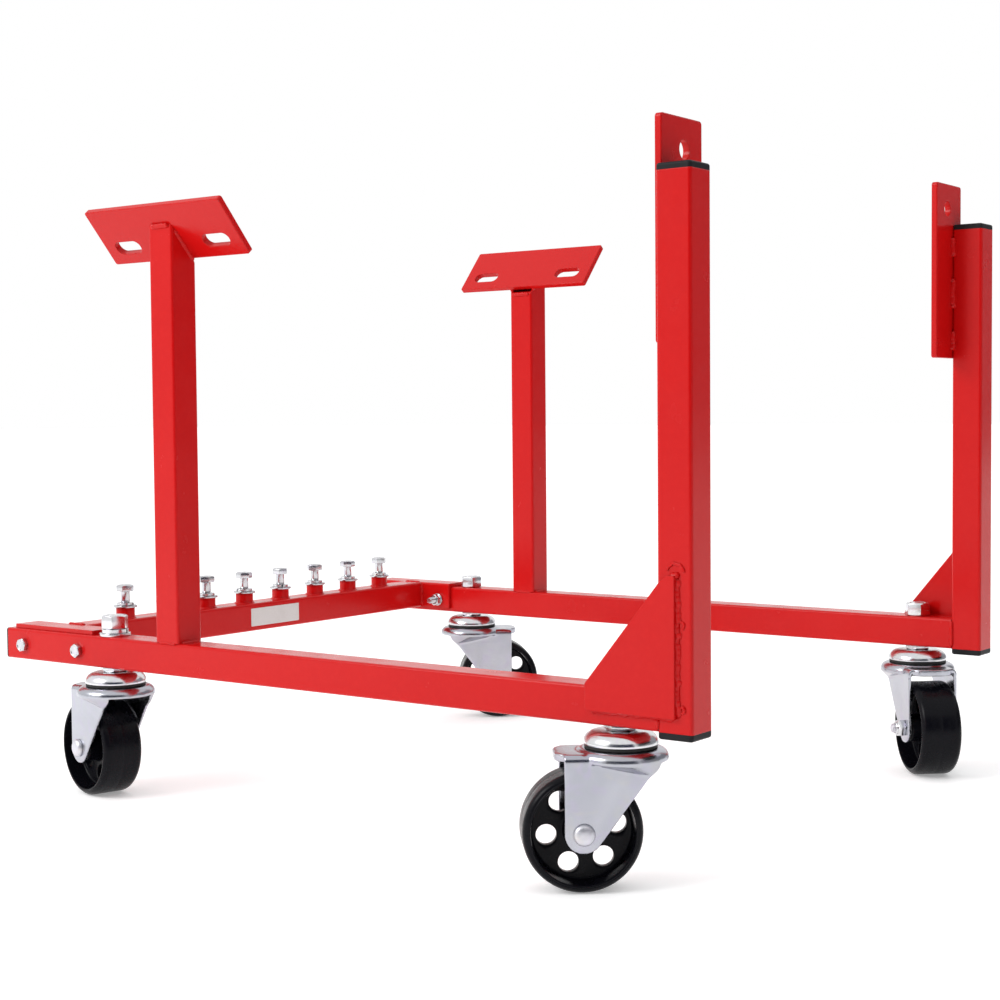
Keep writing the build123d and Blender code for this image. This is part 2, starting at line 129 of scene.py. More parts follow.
def mix(nt, fac, a, b):
    x = nt.nodes.new("ShaderNodeMix")
    x.data_type = "RGBA"
    nt.links.new(fac, x.inputs["Factor"])
    for sock, v in ((x.inputs["A"], a), (x.inputs["B"], b)):
        pass
    ca, cb = x.inputs[6], x.inputs[7]
    for sock, v in ((ca, a), (cb, b)):
        if isinstance(v, (tuple, list)):
            sock.default_value = (*v, 1.0)
        else:
            nt.links.new(v, sock)
    return x.outputs[2]


def bump(nt, height, strength, distance, normal=None):
    b = nt.nodes.new("ShaderNodeBump")
    b.inputs["Strength"].default_value = strength
    b.inputs["Distance"].default_value = distance
    nt.links.new(height, b.inputs["Height"])
    if normal is not None:
        nt.links.new(normal, b.inputs["Normal"])
    return b.outputs[0]


def bevel(nt, radius, samples=4):
    b = nt.nodes.new("ShaderNodeBevel")
    b.samples = samples
    b.inputs["Radius"].default_value = radius
    return b.outputs[0]


def edge_mask(nt, bev):
    """0 on flat faces, towards 1 where the surface turns at an edge"""
    g = nt.nodes.new("ShaderNodeNewGeometry")
    d = nt.nodes.new("ShaderNodeVectorMath")
    d.operation = "DOT_PRODUCT"
    nt.links.new(bev, d.inputs[0])
    nt.links.new(g.outputs["Normal"], d.inputs[1])
    return remap(nt, d.outputs["Value"], 1.0, 0.0, 0.8, 0.995)


def red_paint():
    m, nt, bsdf, vec = material("red_powder_coat")
    big = noise(nt, vec, 7.0, 3.0)
    col = mix(nt, remap(nt, big, 0.0, 1.0), (0.575, 0.0050, 0.0050), (0.535, 0.0038, 0.0045))
    mottle = noise(nt, vec, 260.0, 3.0, 0.6)
    col = mix(nt, remap(nt, mottle, 0.0, 0.35, 0.45, 0.75), col, (0.610, 0.0085, 0.0070))
    bev = bevel(nt, 0.0011)
    edge = edge_mask(nt, bev)
    # painted highlight: a lighter, pinker red laid along the rounded edges, broken up by fine noise
    edge_highlight_noise = noise(nt, vec, 900.0, 2.0)
    painted_edge_highlight = nt.nodes.new("ShaderNodeMath")
    painted_edge_highlight.operation = "MULTIPLY"
    nt.links.new(edge, painted_edge_highlight.inputs[0])
    nt.links.new(remap(nt, edge_highlight_noise, 0.15, 0.55), painted_edge_highlight.inputs[1])
    col = mix(nt, painted_edge_highlight.outputs[0], col, (0.68, 0.030, 0.024))
    nt.links.new(col, bsdf.inputs["Base Color"])
    rough = remap(nt, noise(nt, vec, 45.0, 4.0, 0.6), 0.16, 0.28)
    nt.links.new(rough, bsdf.inputs["Roughness"])
    peel = noise(nt, vec, 520.0, 1.5, 0.4)
    n = bump(nt, peel, 0.10, 0.00018, bev)
    speck = noise(nt, vec, 1900.0, 1.0, 0.3)
    n = bump(nt, speck, 0.05, 0.00005, n)
    nt.links.new(n, bsdf.inputs["Normal"])
    bsdf.inputs["Specular IOR Level"].default_value = 0.20
    return m


def zinc(name, a, b, r0, r1, scale=28.0, brushed=None, edge_r=0.0005, relief=0.12):
    m, nt, bsdf, vec = material(name)
    tone = noise(nt, vec, scale, 4.0, 0.6, 0.6)
    col = mix(nt, remap(nt, tone, 0.0, 1.0), a, b)
    fleck = noise(nt, vec, 420.0, 3.0, 0.7)
    col = mix(nt, remap(nt, fleck, 0.0, 0.30, 0.5, 0.78), col, tuple(v * 0.78 for v in a))
    tint = noise(nt, vec, 95.0, 2.0, 0.5, 1.2)
    col = mix(nt, remap(nt, tint, 0.0, 0.45, 0.52, 0.72), col, (a[0] * 0.90, a[1] * 0.80, a[2] * 0.98))
    straw = noise(nt, vec, 71.0, 2.0, 0.5, 0.8)
    col = mix(nt, remap(nt, straw, 0.0, 0.30, 0.56, 0.74), col, (a[0] * 0.98, a[1] * 0.95, a[2] * 0.78))
    nt.links.new(col, bsdf.inputs["Base Color"])
    bsdf.inputs["Metallic"].default_value = 1.0
    rr = noise(nt, vec, scale * 3.3, 5.0, 0.65, 0.0, brushed)
    nt.links.new(remap(nt, rr, r0, r1), bsdf.inputs["Roughness"])
    bev = bevel(nt, edge_r)
    h = noise(nt, vec, 330.0, 3.0, 0.6, 0.0, brushed)
    nt.links.new(bump(nt, h, relief, 0.00012, bev), bsdf.inputs["Normal"])
    return m


def black_wheel():
    m, nt, bsdf, vec = material("wheel_black_enamel")
    tone = noise(nt, vec, 40.0, 3.0)
    col = mix(nt, remap(nt, tone, 0.0, 1.0), (0.0022, 0.0022, 0.0038), (0.0040, 0.0040, 0.0064))
    dust = noise(nt, vec, 700.0, 4.0, 0.7)
    col = mix(nt, remap(nt, dust, 0.0, 0.5, 0.62, 0.85), col, (0.009, 0.009, 0.012))
    nt.links.new(col, bsdf.inputs["Base Color"])
    nt.links.new(remap(nt, noise(nt, vec, 130.0, 4.0, 0.6), 0.20, 0.34), bsdf.inputs["Roughness"])
    n = bump(nt, noise(nt, vec, 600.0, 2.0), 0.10, 0.00012)
    nt.links.new(n, bsdf.inputs["Normal"])
    bsdf.inputs["Specular IOR Level"].default_value = 0.11
    return m


def black_cap():
    m, nt, bsdf, vec = material("cap_black_plastic")
    tone = noise(nt, vec, 60.0, 3.0)
    col = mix(nt, remap(nt, tone, 0.0, 1.0), (0.009, 0.009, 0.010), (0.017, 0.017, 0.019))
    nt.links.new(col, bsdf.inputs["Base Color"])
    grain = noise(nt, vec, 1400.0, 3.0, 0.6)
    nt.links.new(remap(nt, grain, 0.40, 0.58), bsdf.inputs["Roughness"])
    nt.links.new(bump(nt, grain, 0.25, 0.00012), bsdf.inputs["Normal"])
    bsdf.inputs["Specular IOR Level"].default_value = 0.14
    return m


def seal_rubber():
    m, nt, bsdf, vec = material("seal_rubber")
    tone = noise(nt, vec, 220.0, 3.0)
    nt.links.new(mix(nt, remap(nt, tone, 0.0, 1.0), (0.006, 0.006, 0.006), (0.014, 0.013, 0.012)), bsdf.inputs["Base Color"])
    nt.links.new(remap(nt, tone, 0.55, 0.75), bsdf.inputs["Roughness"])
    nt.links.new(bump(nt, noise(nt, vec, 900.0, 2.0), 0.2, 0.0001), bsdf.inputs["Normal"])
    return m


def paper():
    m, nt, bsdf, vec = material("blank_paper")
    fibre = noise(nt, vec, 900.0, 4.0, 0.7, 1.0)
    col = mix(nt, remap(nt, fibre, 0.0, 1.0), (0.74, 0.73, 0.71), (0.66, 0.65, 0.63))
    stain = noise(nt, vec, 60.0, 3.0)
    col = mix(nt, remap(nt, stain, 0.0, 0.4, 0.5, 0.8), col, (0.60, 0.585, 0.56))
    nt.links.new(col, bsdf.inputs["Base Color"])
    nt.links.new(remap(nt, fibre, 0.45, 0.65), bsdf.inputs["Roughness"])
    nt.links.new(bump(nt, fibre, 0.15, 0.00008), bsdf.inputs["Normal"])
    return m


RED = red_paint()
ZINC = zinc("zinc_bright", (0.76, 0.765, 0.775), (0.62, 0.63, 0.66), 0.14, 0.28)
ZINC_FORK = zinc("zinc_fork", (0.51, 0.52, 0.565), (0.415, 0.425, 0.475), 0.20, 0.27, 16.0, None, 0.0007, 0.04)
ZINC_RIVET = zinc("zinc_rivet", (0.72, 0.72, 0.76), (0.58, 0.58, 0.63), 0.36, 0.52, 90.0, None, 0.0005, 0.30)
ZINC_BOLT = zinc("zinc_bolt", (0.66, 0.665, 0.68), (0.48, 0.485, 0.51), 0.16, 0.30, 60.0)
WHEEL = black_wheel()
CAP = black_cap()
SEAL = seal_rubber()
PAPER = paper()


def paint(node, mat):
    o = NODES[node]
    if not o.material_slots:
        o.data.materials.append(mat)
    for s in o.material_slots:
        s.link = "OBJECT"
        s.material = mat


for n in NODES:
    if n.endswith("caps"):
        paint(n, CAP)
    elif n.startswith("wheel_"):
        paint(n, WHEEL)
    elif n.startswith("swivel_seal"):
        paint(n, SEAL)
    elif n == "blank_label":
        paint(n, PAPER)
    elif n.startswith("fork_"):
        paint(n, ZINC_FORK)
    elif n.startswith(("upper_race", "stem", "axle")):
        paint(n, ZINC)
    elif n.startswith(("storage", "cross_bolts", "cross_washers", "cross_nuts")):
        paint(n, ZINC_BOLT)
    else:
        paint(n, RED)


# ------------------------------------------------------------------ mesh helpers (millimetres, local +Z is the axis)
class Build:
    def __init__(self):
        self.v, self.f = [], []

    def add(self, verts, faces, m=None):
        k = len(self.v)
        self.v += [tuple((m @ Vector(p)) if m else p) for p in verts]
        self.f += [tuple(i + k for i in f) for f in faces]

    def revolve(self, profile, m, segs=48, closed=True):
        """profile: (r, z) points; a closed loop unless closed is False"""
        n = len(profile)
        vs = []
        for s in range(segs):
            a = 2 * math.pi * s / segs
            vs += [(r * math.cos(a), r * math.sin(a), z) for r, z in profile]
        fs = []
        for s in range(segs):
            t = (s + 1) % segs
            for i in range(n if closed else n - 1):
                j = (i + 1) % n
                quad = [s * n + i, t * n + i, t * n + j, s * n + j]
                fs.append(quad)
        self.add(vs, fs, m)

    def prism(self, pts, z0, z1, m):
        n = len(pts)
        vs = [(x, y, z0) for x, y in pts] + [(x, y, z1) for x, y in pts]
        fs = [tuple(reversed(range(n))), tuple(range(n, 2 * n))] + [(k, (k + 1) % n, n + (k + 1) % n, n + k) for k in range(n)]
        self.add(vs, fs, m)

    def thread(self, r, pitch, z0, z1, m, segs=28, depth=None, hollow_r=None, cone=0.6):
        """an outside thread from z0 to z1, with a chamfered tip at z1"""
        depth = depth or pitch * 0.55
        per = 6
        rows = max(2, int((z1 - z0) / pitch * per))
        vs, fs = [], []
        for k in range(rows + 1):
            z = z0 + (z1 - z0) * k / rows
            for s in range(segs):
                a = s / segs
                ph = ((z - z0) / pitch - a) % 1.0
                w = abs(ph * 2 - 1)
                w = min(1.0, max(0.0, (w - 0.12) / 0.76))
                rr = r - depth * (1 - w)
                rr = min(rr, r - depth + max(0.0, (z1 - z)) / cone * depth)
                vs.append((rr * math.cos(2 * math.pi * a), rr * math.sin(2 * math.pi * a), z))
        for k in range(rows):
            for s in range(segs):
                t = (s + 1) % segs
                fs.append((k * segs + s, k * segs + t, (k + 1) * segs + t, (k + 1) * segs + s))
        vs.append((0, 0, z1))
        vs.append((0, 0, z0))
        for s in range(segs):
            t = (s + 1) % segs
            fs.append((rows * segs + s, rows * segs + t, len(vs) - 2))
            fs.append((t, s, len(vs) - 1))
        self.add(vs, fs, m)

    def hexagon(self, af, z0, z1, m, rot=0.0, bore=None, cham0=False, cham1=True, dish=0.0):
        """hexagon prism with the curved chamfer that a turned hexagon has; bore makes it a nut"""
        seg = 10
        rc = af / 2 * 0.955
        tan = math.tan(math.radians(30))
        ang, hr = [], []
        for k in range(6):
            for s in range(seg):
                a = -math.pi / 6 + math.pi / 3 * s / seg
                ang.append(k * math.pi / 3 + a)
                hr.append(af / 2 / math.cos(a))
        n = len(ang)
        rot = math.radians(rot)

        def ring(radii, zs):
            return [(radii[i] * math.cos(ang[i] + rot), radii[i] * math.sin(ang[i] + rot), zs[i]) for i in range(n)]

        def edge(h):
            return 0.14 if h > rc else 0.0
        rings = []
        bot_z = [z0 + max(0.0, (h - rc)) * tan if cham0 else z0 for h in hr]
        top_z = [z1 - max(0.0, (h - rc)) * tan if cham1 else z1 for h in hr]
        if bore:
            rings.append(ring([bore + 0.02] * n, [z0 + 0.9] * n))
            rings.append(ring([bore + 0.9] * n, [z0] * n))
        rings.append(ring([rc] * n, [z0] * n))
        rings.append(ring([h - 0.10 for h in hr], [bot_z[i] - (0.0 if cham0 else 0.0) for i in range(n)]))
        rings.append(ring(hr, [z + 0.22 for z in bot_z]))
        rings.append(ring(hr, [z - 0.22 for z in top_z]))
        rings.append(ring([h - 0.10 for h in hr], top_z))
        rings.append(ring([rc] * n, [z1] * n))
        if bore:
            rings.append(ring([bore + 0.9] * n, [z1] * n))
            rings.append(ring([bore + 0.02] * n, [z1 - 0.9] * n))
        elif dish:
            rings.append(ring([rc * 0.86] * n, [z1] * n))
            rings.append(ring([rc * 0.74] * n, [z1 - dish] * n))
        vs = [p for r in rings for p in r]
        fs = []
        R = len(rings)
        for k in range(R - 1 if not bore else R):
            j = (k + 1) % R
            for i in range(n):
                t = (i + 1) % n
                fs.append((k * n + i, k * n + t, j * n + t, j * n + i))
        if not bore:
            fs.append(tuple(reversed(range(n))))
            fs.append(tuple((R - 1) * n + i for i in range(n)))
        self.add(vs, fs, m)

    def split_washer(self, r0, r1, t, m, rot=0.0, gap=14.0, lift=0.45):
        segs = 56
        vs, fs = [], []
        b = 0.18
        sect = [(r0, b), (r0 + b, 0), (r1 - b, 0), (r1, b), (r1, t - b), (r1 - b, t), (r0 + b, t), (r0, t - b)]
        n = len(sect)
        for s in range(segs + 1):
            a = math.radians(rot + gap / 2 + (360 - gap) * s / segs)
            dz = lift * (s / segs - 0.5)
            sc = t - abs(dz) * 0
            vs += [(r * math.cos(a), r * math.sin(a), min(max(z + dz * (0.9 if 0 < z < t else 0.9), -0.0), t + 0.0)) for r, z in sect]
        for s in range(segs):
            for i in range(n):
                j = (i + 1) % n
                fs.append((s * n + i, (s + 1) * n + i, (s + 1) * n + j, s * n + j))
        fs.append(tuple(range(n)))
        fs.append(tuple(reversed([segs * n + i for i in range(n)])))
        self.add(vs, fs, m)

    def object(self, name, mat, body, slot, replaces=(), angle=32, merge=0.004):
        me = bpy.data.meshes.new(name)
        me.from_pydata([(x / 1000, y / 1000, z / 1000) for x, y, z in self.v], [], self.f)
        bm = bmesh.new()
        bm.from_mesh(me)
        bmesh.ops.remove_doubles(bm, verts=bm.verts, dist=merge / 1000)
        bmesh.ops.recalc_face_normals(bm, faces=bm.faces)
        for f in bm.faces:
            f.smooth = True
        bm.to_mesh(me)
        bm.free()
        me.set_sharp_from_angle(angle=math.radians(angle))
        me.materials.append(mat)
        o = bpy.data.objects.new(name, me)
        scene.collection.objects.link(o)
        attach(o, body)
        if replaces:
            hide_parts(*replaces)
        return o


def at(x, y, z):
    """millimetre matrix at rail coordinates, local +Z up"""
    return Matrix.Translation(Vector((x - X_MID, y - Y_MID, z + HC)))


def basis(origin, ex, ey, ez):
    m = Matrix((ex, ey, ez)).transposed().to_4x4()
    m.translation = origin
    return m


def ring_profile(r0, r1, z0, z1, b=0.2):
    return [(r0, z0 + b), (r0 + b, z0), (r1 - b, z0), (r1 - 0.3 * b, z0 + 0.3 * b), (r1, z0 + b), (r1, z1 - b), (r1 - 0.3 * b, z1 - 0.3 * b), (r1 - b, z1), (r0 + b, z1), (r0, z1 - b)]


# ------------------------------------------------------------------ stored bolts on the cross tube
bolts, locks, flats, collars = Build(), Build(), Build(), Build()
rng = random.Random(7)
for i, y in enumerate(COLLAR_Y):
    m = at(CROSS_X, y, ANGLE_TOP)
    collars.revolve([(4.15, 0.02), (8.0, 0.02), (8.0, 8.5), (7.85, 9.05), (7.4, 9.38), (4.9, 9.38), (4.35, 9.1), (4.15, 8.7)], m, 40)
    flats.revolve(ring_profile(4.25, 10.0, 9.42, 11.2, 0.28), m, 48)
    locks.split_washer(4.25, 7.3, 2.2, m @ Matrix.Translation((0, 0, 11.2)), rot=20 + 77 * i)
    bolts.thread(3.98, 1.25, 1.2, 14.2, m @ Matrix.Rotation(1.3 * i, 4, "Z"), 24, cone=0.01)
    bolts.revolve([(0, 14.0), (3.62, 14.0), (3.92, 14.5), (3.92, 22.9), (4.6, 23.4), (0, 23.4)], m, 32, True)
    bolts.hexagon(13.0, 23.4, 28.7, m, rot=30 + 17 * i, dish=0.35)
bolts.object("storage_bolts_detail", ZINC_BOLT, "frame", "zinc_steel", ["storage_bolts"])
locks.object("storage_split_washers", ZINC_BOLT, "frame", "zinc_steel", ["storage_lock_washers"])
flats.object("storage_flat_washers", ZINC_BOLT, "frame", "zinc_steel", ["storage_washers"])
collars.object("bolt_collars_detail", RED, "frame", "red_paint", ["bolt_collars"])

# ------------------------------------------------------------------ cross member bolts
bolts, washers, nuts = Build(), Build(), Build()
for side in (-1, 1):
    for i, bx in enumerate(BOLT_X):
        o = Vector((bx - X_MID, side_y(side, 0) - Y_MID, BOLT_Z + HC))
        ez = Vector((0, side, 0))
        ex = Vector((1, 0, 0))
        m = basis(o, ex, ez.cross(ex), ez)
        bolts.hexagon(10.0, 0.02, 4.0, m, rot=42 + 23 * i, dish=0.5)
        flip = basis(o, ex, ez.cross(ex) * -1, ez * -1)
        bolts.revolve([(0, -0.1), (2.96, -0.1), (2.96, 29.0), (2.5, 29.4), (0, 29.4)], flip, 28)
        bolts.thread(2.98, 1.0, 29.2, 44.0, flip, 24, cone=2.4)
        washers.split_washer(3.2, 6.2, 1.6, flip @ Matrix.Translation((0, 0, 28.92)), rot=50 + 100 * i, lift=0.3)
        nuts.hexagon(10.0, 30.52, 35.7, flip, rot=39 + 14 * i, bore=2.9, cham0=True)
bolts.object("cross_bolts_detail", ZINC_BOLT, "frame", "zinc_steel", ["cross_bolts"])
washers.object("cross_washers_detail", ZINC_BOLT, "frame", "zinc_steel", ["cross_washers"])
nuts.object("cross_nuts_detail", ZINC_BOLT, "frame", "zinc_steel", ["cross_nuts"])

# ------------------------------------------------------------------ caster stems and their nuts
STACK = 5.6
stems, nuts, washers, locks = Build(), Build(), Build(), Build()
kings = {}
order = list(CASTERS.items())
for i, (tag, (kx, side, ang, ph)) in enumerate(order):
    y = side_y(side, TUBE / 2)
    kings[tag] = (kx, y)
    m = at(kx, y, 0)
    lift = STACK if side < 0 else 0.0
    top = TUBE + 11.0 + lift
    stems.hexagon(19.0, -3.6, -0.02, m, rot=41 + 19 * i, cham0=True, cham1=False)
    stems.revolve([(0, -12.3), (6.3, -12.3), (6.3, 22.0), (0, 22.0)], m, 36)
    stems.thread(6.32, 1.75, 21.8, top, m @ Matrix.Rotation(0.8 * i, 4, "Z"), 32, cone=0.9)
    stems.revolve([(0, -22.6), (7.0, -22.6), (8.6, -21.9), (9.0, -20.9), (9.0, -19.6), (5.0, -19.6), (5.0, -12.2), (0, -12.2)], m, 36)
    k = (i if side < 0 else i - 2)
    nuts.hexagon(19.0, TUBE + lift, TUBE + lift + 11.0, m, rot=36 + 8 * (i if side < 0 else i - 2), bore=6.2, cham0=True)
    if side < 0:
        washers.revolve(ring_profile(6.55, 12.6, TUBE + 0.02, TUBE + 2.4, 0.35), m, 52)
        locks.split_washer(6.55, 10.8, 3.2, m @ Matrix.Translation((0, 0, TUBE + 2.4)), rot=20, lift=0.7)
stems.object("stems_threaded", ZINC, "frame", "zinc_steel", ["stems"])
nuts.object("stem_nuts_detail", ZINC, "frame", "zinc_steel", ["stem_nuts"])
washers.object("stem_washers_detail", ZINC, "frame", "zinc_steel", ["stem_washers"])
locks.object("stem_split_washers", ZINC, "frame", "zinc_steel", ["stem_lock_washers"])

# ------------------------------------------------------------------ caster races, axle hardware and wheels
def fork_leg(b, outline, hole, y0, y1, m):
    """a flat leg: outline in (u, z) from y0 to y1 across, with a round hole; strips run from the hole to the outline"""
    cu, cz, r = hole
    pts = []
    for p, q in zip(outline, outline[1:] + outline[:1]):
        n = max(1, int(math.dist(p, q) / 2.5))
        pts += [(p[0] + (q[0] - p[0]) * k / n, p[1] + (q[1] - p[1]) * k / n) for k in range(n)]
    n = len(pts)
    inner = []
    for x, z in pts:
        d = math.hypot(x - cu, z - cz)
        inner.append((cu + (x - cu) / d * r, cz + (z - cz) / d * r))
    vs = []
    for y in (y0, y1):
        vs += [(x, y, z) for x, z in pts] + [(x, y, z) for x, z in inner]
    fs = []
    for k in range(n):
        t = (k + 1) % n
        fs.append((k, t, n + t, n + k))
        fs.append((2 * n + t, 2 * n + k, 3 * n + k, 3 * n + t))
        fs.append((k, 2 * n + k, 2 * n + t, t))
        fs.append((n + t, 3 * n + t, 3 * n + k, n + k))
    b.add(vs, fs, m)


def rounded(x0, x1, hw, r):
    """outline with its two far corners rounded"""
    pts = [(x0, -hw)]
    for k in range(9):
        a = -math.pi / 2 + math.pi / 2 * k / 8
        pts.append((x1 - r + r * math.cos(a), -hw + r + r * math.sin(a)))
    for k in range(9):
        a = math.pi / 2 * k / 8
        pts.append((x1 - r + r * math.cos(a), hw - r + r * math.sin(a)))
    pts.append((x0, hw))
    return pts


def channel(out, inn, top, under, foot, r):
    """section of the bent sheet across the fork: a plate with both sides turned down through radius r"""
    k = r - (out - inn) if r > out - inn + 0.5 else 0.5
    arcs = [math.pi / 2 * q / 7 for q in range(8)]
    pts = [(out, foot)] + [(out - r + r * math.cos(a), top - r + r * math.sin(a)) for a in arcs]
    pts += [(-(out - r) - r * math.sin(a), top - r + r * math.cos(a)) for a in arcs] + [(-out, foot), (-inn, foot)]
    pts += [(-(inn - k) - k * math.cos(a), under - k + k * math.sin(a)) for a in arcs]
    pts += [(inn - k + k * math.sin(a), under - k + k * math.cos(a)) for a in arcs] + [(inn, foot)]
    return pts


def hull(b, pts, m):
    """the smallest convex solid around the points"""
    bm = bmesh.new()
    for p in pts:
        bm.verts.new(p)
    r = bmesh.ops.convex_hull(bm, input=bm.verts)
    gone = [g for g in set(r["geom_unused"] + r["geom_interior"]) if isinstance(g, bmesh.types.BMVert)]
    bmesh.ops.delete(bm, geom=gone, context="VERTS")
    bm.verts.index_update()
    b.add([tuple(v.co) for v in bm.verts], [tuple(v.index for v in f.verts) for f in bm.faces], m)
    bm.free()


def rounded_rim(x0, x1, hw, r, t):
    """the turned-down end of the lip: only its rounded end, t thick"""
    far = rounded(x1 - r - 3.0, x1, hw, r)
    near = rounded(x1 - r - 3.0, x1 - t, hw - t, r - t)
    return far + near[::-1]


def fuse(o, voxel, rounds):
    """fuse the overlapping closed shells of o into one skin and soften its edges"""
    r = o.modifiers.new("fuse", "REMESH")
    r.mode = "VOXEL"
    r.voxel_size = voxel
    r.adaptivity = 0.0
    sm = o.modifiers.new("soften", "SMOOTH")
    sm.factor = 0.5
    sm.iterations = rounds
    de = o.modifiers.new("thin", "DECIMATE")
    de.ratio = 0.34
    dg = bpy.context.evaluated_depsgraph_get()
    me = bpy.data.meshes.new_from_object(o.evaluated_get(dg))
    o.modifiers.clear()
    old = o.data
    mats = list(old.materials)
    o.data = me
    if not me.materials:
        for mt in mats:
            me.materials.append(mt)
    for p in me.polygons:
        p.use_smooth = True
    me.set_sharp_from_angle(angle=math.radians(70))


for i, (tag, (kx, side, ang, phase)) in enumerate(order):
    y = side_y(side, TUBE / 2)
    m = at(kx, y, 0)
    b = Build()
    prof = [(6.4, -3.62), (15.8, -3.62), (17.6, -3.85), (19.6, -4.5), (21.6, -5.7), (23.1, -7.2), (24.1, -8.9), (24.6, -10.4), (24.75, -11.5), (24.6, -12.2), (24.2, -12.3),
            (22.9, -12.3), (22.6, -11.8), (22.3, -9.6), (21.3, -7.6), (19.6, -6.2), (17.4, -5.6), (6.4, -5.6)]
    b.revolve(prof, m, 72)
    b.object("upper_race_%s_detail" % tag, ZINC, "frame", "zinc_steel", ["upper_race_" + tag], angle=40)

    a = math.radians(ang)
    u, lat, up = Vector((math.cos(a), math.sin(a), 0)), Vector((-math.sin(a), math.cos(a), 0)), Vector((0, 0, 1))
    hub = m.translation + u * TRAIL + up * AXLE_Z
    body = "fork_" + tag
    # head side is +lat; local +Z = +lat
    mh = basis(hub, u * -1, up, lat)
    b = Build()
    b.revolve([(0, 21.02), (7.0, 21.02), (7.2, 21.3), (7.15, 22.3), (6.7, 23.4), (5.8, 24.3), (4.4, 24.9), (2.4, 25.15), (0, 25.2)], mh, 44)
    mn = basis(hub, u, up, lat * -1)
    b.revolve([(0, -21.2), (3.97, -21.2), (3.97, 21.5), (0, 21.5)], mn, 32)
    b.thread(3.97, 1.25, 21.3, 31.5, mn, 26)
    b.object("axle_bolt_%s_detail" % tag, ZINC_RIVET, body, "zinc_steel", ["axle_bolt_" + tag], angle=40)
    b = Build()
    b.hexagon(13.0, 21.02, 27.2, mn, rot=40, bore=3.95, cham0=True)
    b.revolve([(4.0, 27.1), (5.75, 27.1), (5.75, 28.2), (5.3, 28.8), (4.7, 29.0), (4.1, 28.8)], mn, 40)
    b.object("axle_nut_%s_detail" % tag, ZINC, body, "zinc_steel", ["axle_nut_" + tag])

    # fork: legs, domed crown and trailing lip, fused into one pressed sheet
    mf = basis(m.translation, u, lat, up)
    fb = Build()
    arc = [(TRAIL + 12.6 * math.cos(t), AXLE_Z + 12.6 * math.sin(t)) for t in [-(math.pi - math.radians(36.5)) * q / 18 for q in range(19)]]
    leg = [(39.0, -20.9)] + arc + [(-14.8, -33.0), (-17.2, -30.7), (-19.6, -28.7), (-21.6, -26.6), (-22.9, -24.4), (-23.3, -22.4), (-23.3, -20.9)]
    fork_leg(fb, leg, (TRAIL, AXLE_Z, 4.3), 18.32, 20.98, mf)
    fork_leg(fb, leg, (TRAIL, AXLE_Z, 4.3), -20.98, -18.32, mf)
    fb.prism(channel(21.0, 18.3, -16.3, -19.0, -22.4, 4.4), -23.4, 39.1, basis(m.translation, lat, up, u))
    fb.prism(rounded(27.0, 44.4, 19.0, 13.5), -19.0, -16.35, mf)
    fb.prism(rounded_rim(27.0, 44.4, 19.0, 13.5, 2.4), -21.8, -16.9, mf)
    crown = [(5.05, -16.3), (14.5, -16.3), (17.2, -15.6), (19.6, -14.9), (25.0, -14.72), (26.8, -15.05), (28.6, -15.9), (30.1, -17.2), (31.0, -18.7), (31.38, -20.3), (31.4, -22.1),
             (31.1, -22.58), (29.3, -22.58), (28.85, -22.1), (28.7, -20.7), (28.0, -19.6), (26.6, -19.0), (22.6, -17.6), (20.0, -17.6), (17.6, -18.4), (15.0, -19.2), (5.05, -19.2)]
    fb.revolve(crown, mf, 72)
    for sg in (-1, 1):
        # the sheet flares from the crown's rim down into the leg
        rim = [(r * math.cos(math.radians(t)), sg * r * math.sin(math.radians(t)), z) for t in (58, 72, 86, 100, 114, 128, 137) for r, z in ((31.2, -20.2), (31.2, -22.4), (29.2, -20.2))]
        hull(fb, rim + [(x, sg * y, z) for x, z in ((-17.6, -30.2), (-9.0, -29.0), (2.0, -26.0), (15.0, -23.6)) for y in (19.2, 20.9)], mf)
    fo = fb.object("fork_%s_detail" % tag, ZINC_FORK, body, "zinc_steel", ["fork_" + tag], angle=60)
    fuse(fo, 0.00062, 16)

    # wheel: rim and hub turned from one profile, web with six holes
    mw = basis(hub, u, up, u.cross(up))
    w = Build()
    half = [(33.0, 4.4), (33.35, 6.0), (34.05, 16.0), (34.25, 16.7), (34.7, 17.0), (35.3, 16.98), (35.55, 16.75), (35.75, 16.62), (36.0, 16.72), (36.9, 16.35), (37.9, 15.5), (38.7, 14.4), (39.2, 13.1), (39.38, 11.8), (39.4, 9.0), (39.4, 5.0), (39.4, 0.35), (39.36, 0.12)]
    rim = [(31.6, 3.2), (32.3, 3.4), (32.8, 3.85)] + half + [(r, -z) for r, z in reversed(half)] + [(32.8, -3.85), (32.3, -3.4), (31.6, -3.2)]
    w.revolve(rim, mw, 96, closed=False)
    hubp = [(13.6, 3.2), (12.9, 3.35), (12.35, 3.75), (12.0, 4.6), (11.3, 15.6), (11.1, 16.4), (10.6, 16.95), (9.9, 17.0), (6.6, 17.0), (6.2, 16.8), (6.05, 16.3)]
    hubp = hubp + [(r, -z) for r, z in reversed(hubp)]
    w.revolve(list(reversed(hubp)), mw, 96, closed=False)
    # web: one sector for each hole, rings from the hole's edge out to the sector's border
    R0, R1, HR, PC = 13.6, 31.6, 6.85, 23.2
    per = 16      # points along each arc of a sector (96 / 6)
    rad = 10
    for k in range(6):
        mid = math.radians(phase + 60 * k)
